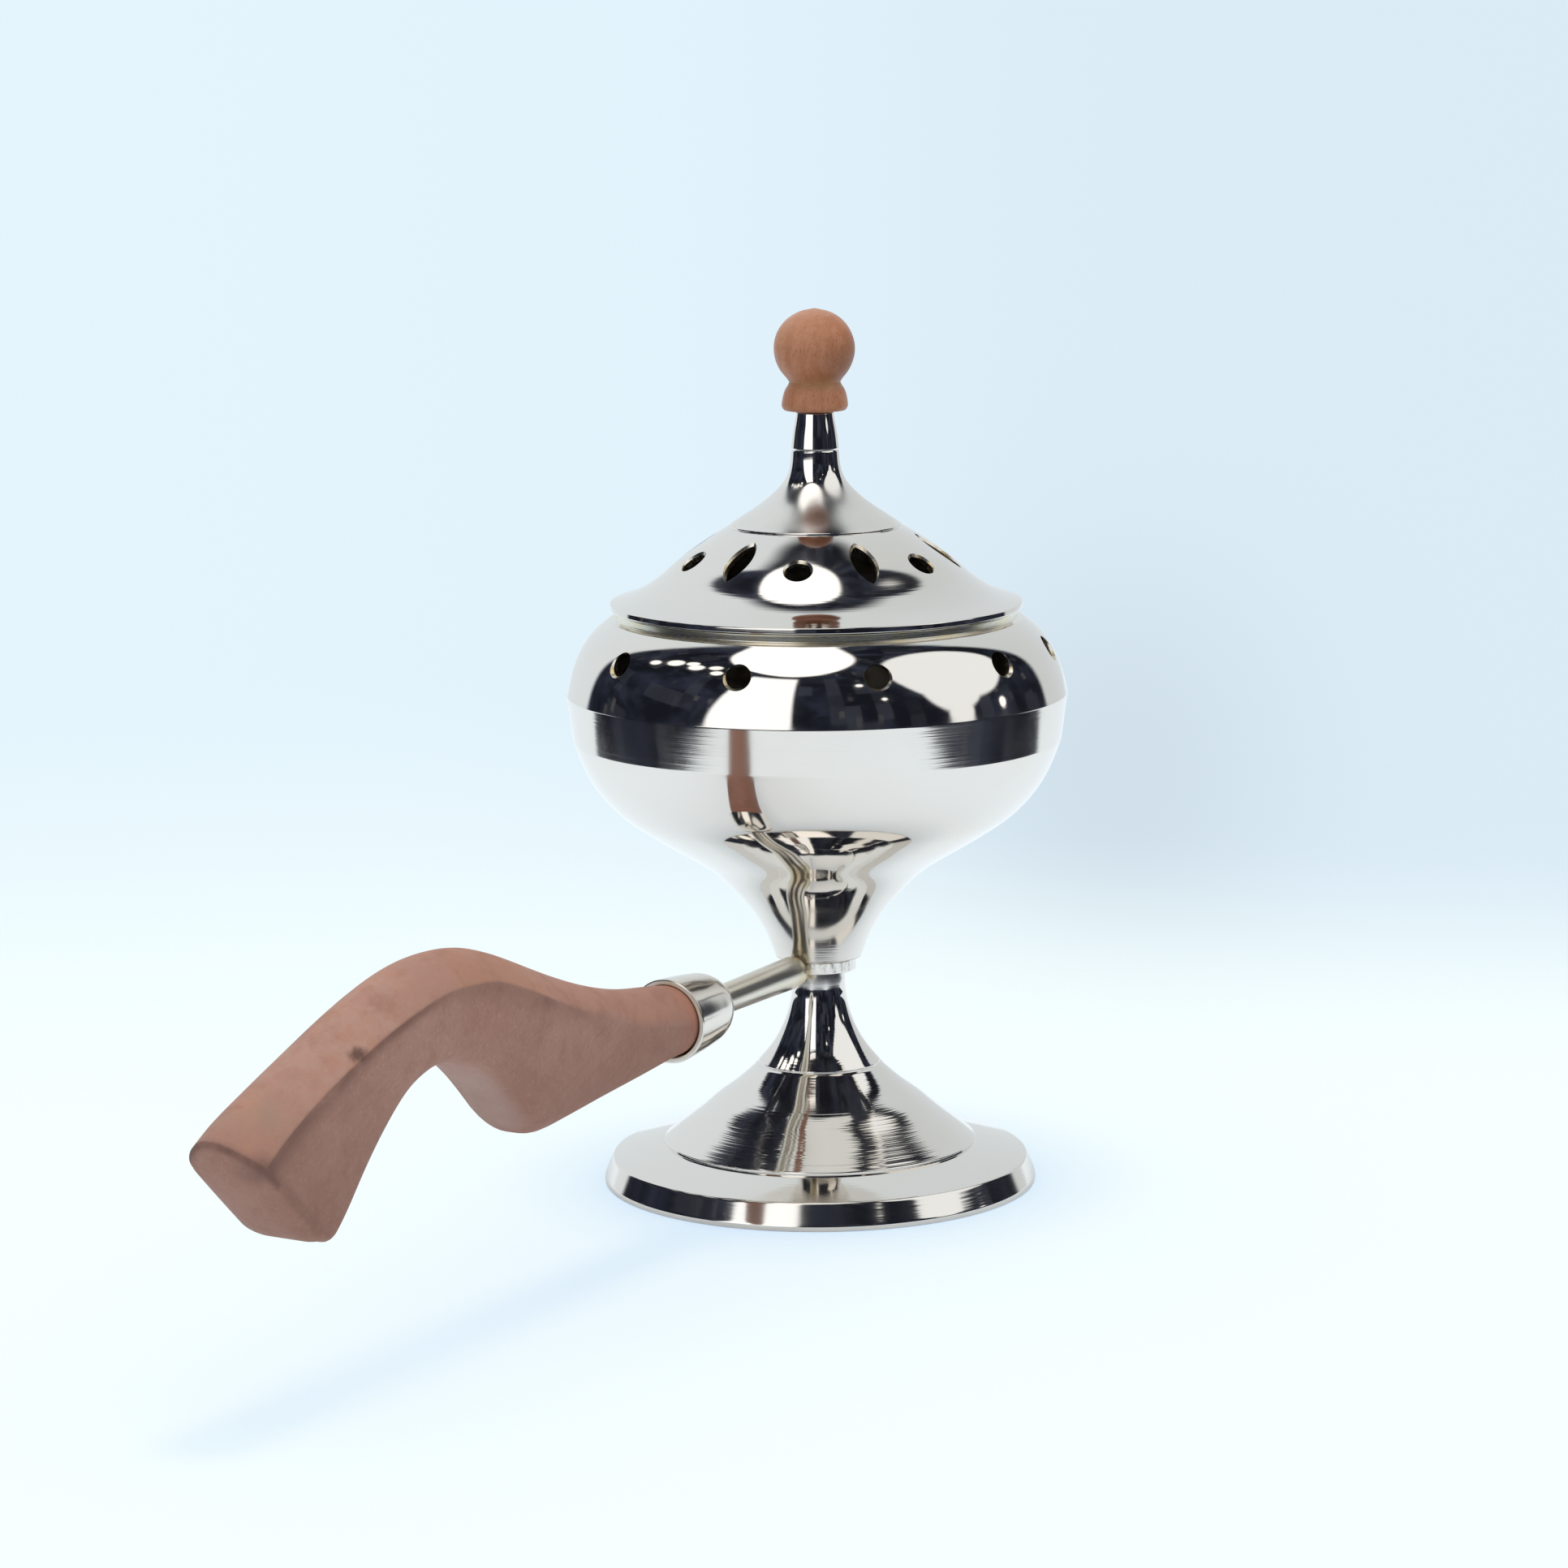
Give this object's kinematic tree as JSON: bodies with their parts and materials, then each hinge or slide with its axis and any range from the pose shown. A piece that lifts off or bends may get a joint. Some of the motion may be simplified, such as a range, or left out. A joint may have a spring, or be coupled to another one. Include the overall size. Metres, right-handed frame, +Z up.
{
  "type": "hand censer",
  "caption": "Standing incense burner with a turned foot and bowl, a swivelling side handle with a wooden grip, a loose charcoal pan and a pierced lift-off lid.",
  "frame": {"origin": "the middle of the whole object's footprint on the table: the bottom centre of its box. The stem axis stands 76.5 mm along +X from it", "axes": "+Z up along the stem axis; the handle reaches out along -X at rest; +Y completes the right-handed frame"},
  "size_m": [0.253, 0.1, 0.176],
  "materials": {
    "foot": "mirror polished nickel plate with fine turning lines",
    "stem_bolt": "zinc plated",
    "bowl_washer": "zinc plated",
    "foot_washer": "zinc plated",
    "spring_washer": "dark spring steel",
    "stem_nut": "zinc plated",
    "bowl": "mirror polished nickel plate with fine turning lines",
    "charcoal_pan": "dull spun steel, heat darkened",
    "eye_ring": "nickel plate, slightly rough at the brazed joint",
    "handle_rod": "polished nickel plate",
    "ferrule": "polished nickel plate",
    "grip": "sanded reddish hardwood, waxed",
    "lid": "mirror polished nickel plate with fine turning lines",
    "lid_seat_ring": "turned brass",
    "knob": "turned reddish hardwood, waxed",
    "knob_screw": "zinc plated",
    "knob_washer": "zinc plated"
  },
  "bodies": {
    "bowl_and_foot": {"foot": "foot", "stem_bolt": "stem_bolt", "bowl_washer": "bowl_washer", "foot_washer": "foot_washer", "spring_washer": "spring_washer", "stem_nut": "stem_nut", "bowl": "bowl"},
    "pan": {"charcoal_pan": "charcoal_pan"},
    "handle": {"eye_ring": "eye_ring", "handle_rod": "handle_rod", "ferrule": "ferrule", "grip": "grip"},
    "lid": {"lid": "lid", "lid_seat_ring": "lid_seat_ring", "knob": "knob", "knob_screw": "knob_screw", "knob_washer": "knob_washer"}
  },
  "joints": [
    {"name": "lid_lift", "type": "slide", "parent": "bowl_and_foot", "child": "lid", "axis": [0, 0, 1], "range_m": [0, 0.1]},
    {"name": "pan_lift", "type": "slide", "parent": "bowl_and_foot", "child": "pan", "axis": [0, 0, 1], "range_m": [0, 0.05]},
    {"name": "handle_swivel", "type": "hinge", "parent": "bowl_and_foot", "child": "handle", "pos_m": [0.0765, 0, 0.0445], "axis": [0, 0, 1], "continuous": true}
  ],
  "couplings": [
    {"joint": "pan_lift", "follows": "lid_lift", "ratio": 0.5}
  ]
}
